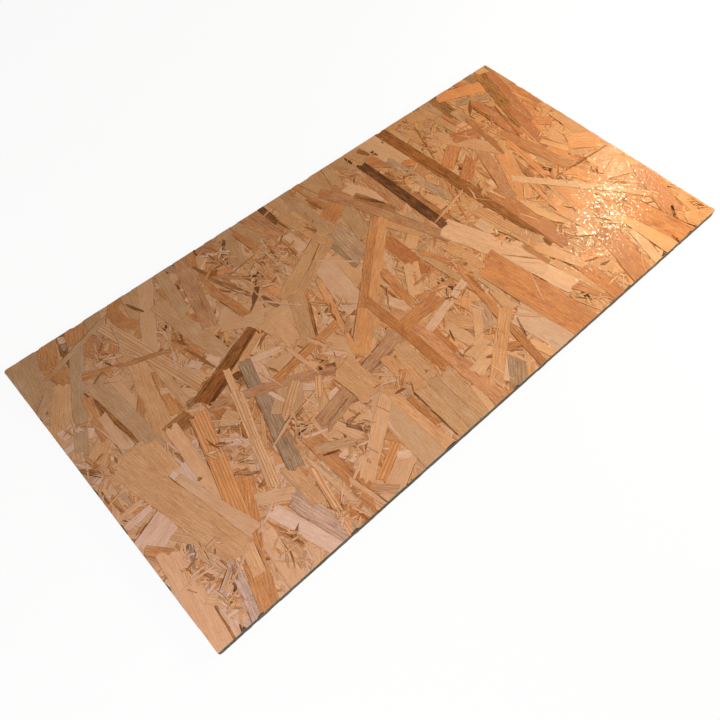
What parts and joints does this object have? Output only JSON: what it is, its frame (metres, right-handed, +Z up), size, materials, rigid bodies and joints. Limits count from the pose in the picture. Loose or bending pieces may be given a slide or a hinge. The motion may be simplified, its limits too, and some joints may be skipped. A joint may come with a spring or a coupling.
{
  "type": "osb board",
  "caption": "Flat rectangular oriented strand board panel with sawn edges, pressed from long thin wood strands that run mostly across its width.",
  "frame": {"origin": "centre of the underside, on the surface that the board lies on", "axes": "+X along the board's length, +Y across its width, which most face strands follow, +Z up through its thickness"},
  "size_m": [0.6, 0.3, 0.009],
  "materials": {
    "wood_strands": "pressed softwood strands, dull satin with a slight resin sheen"
  },
  "bodies": {
    "root": {"board": "wood_strands"}
  },
  "joints": []
}
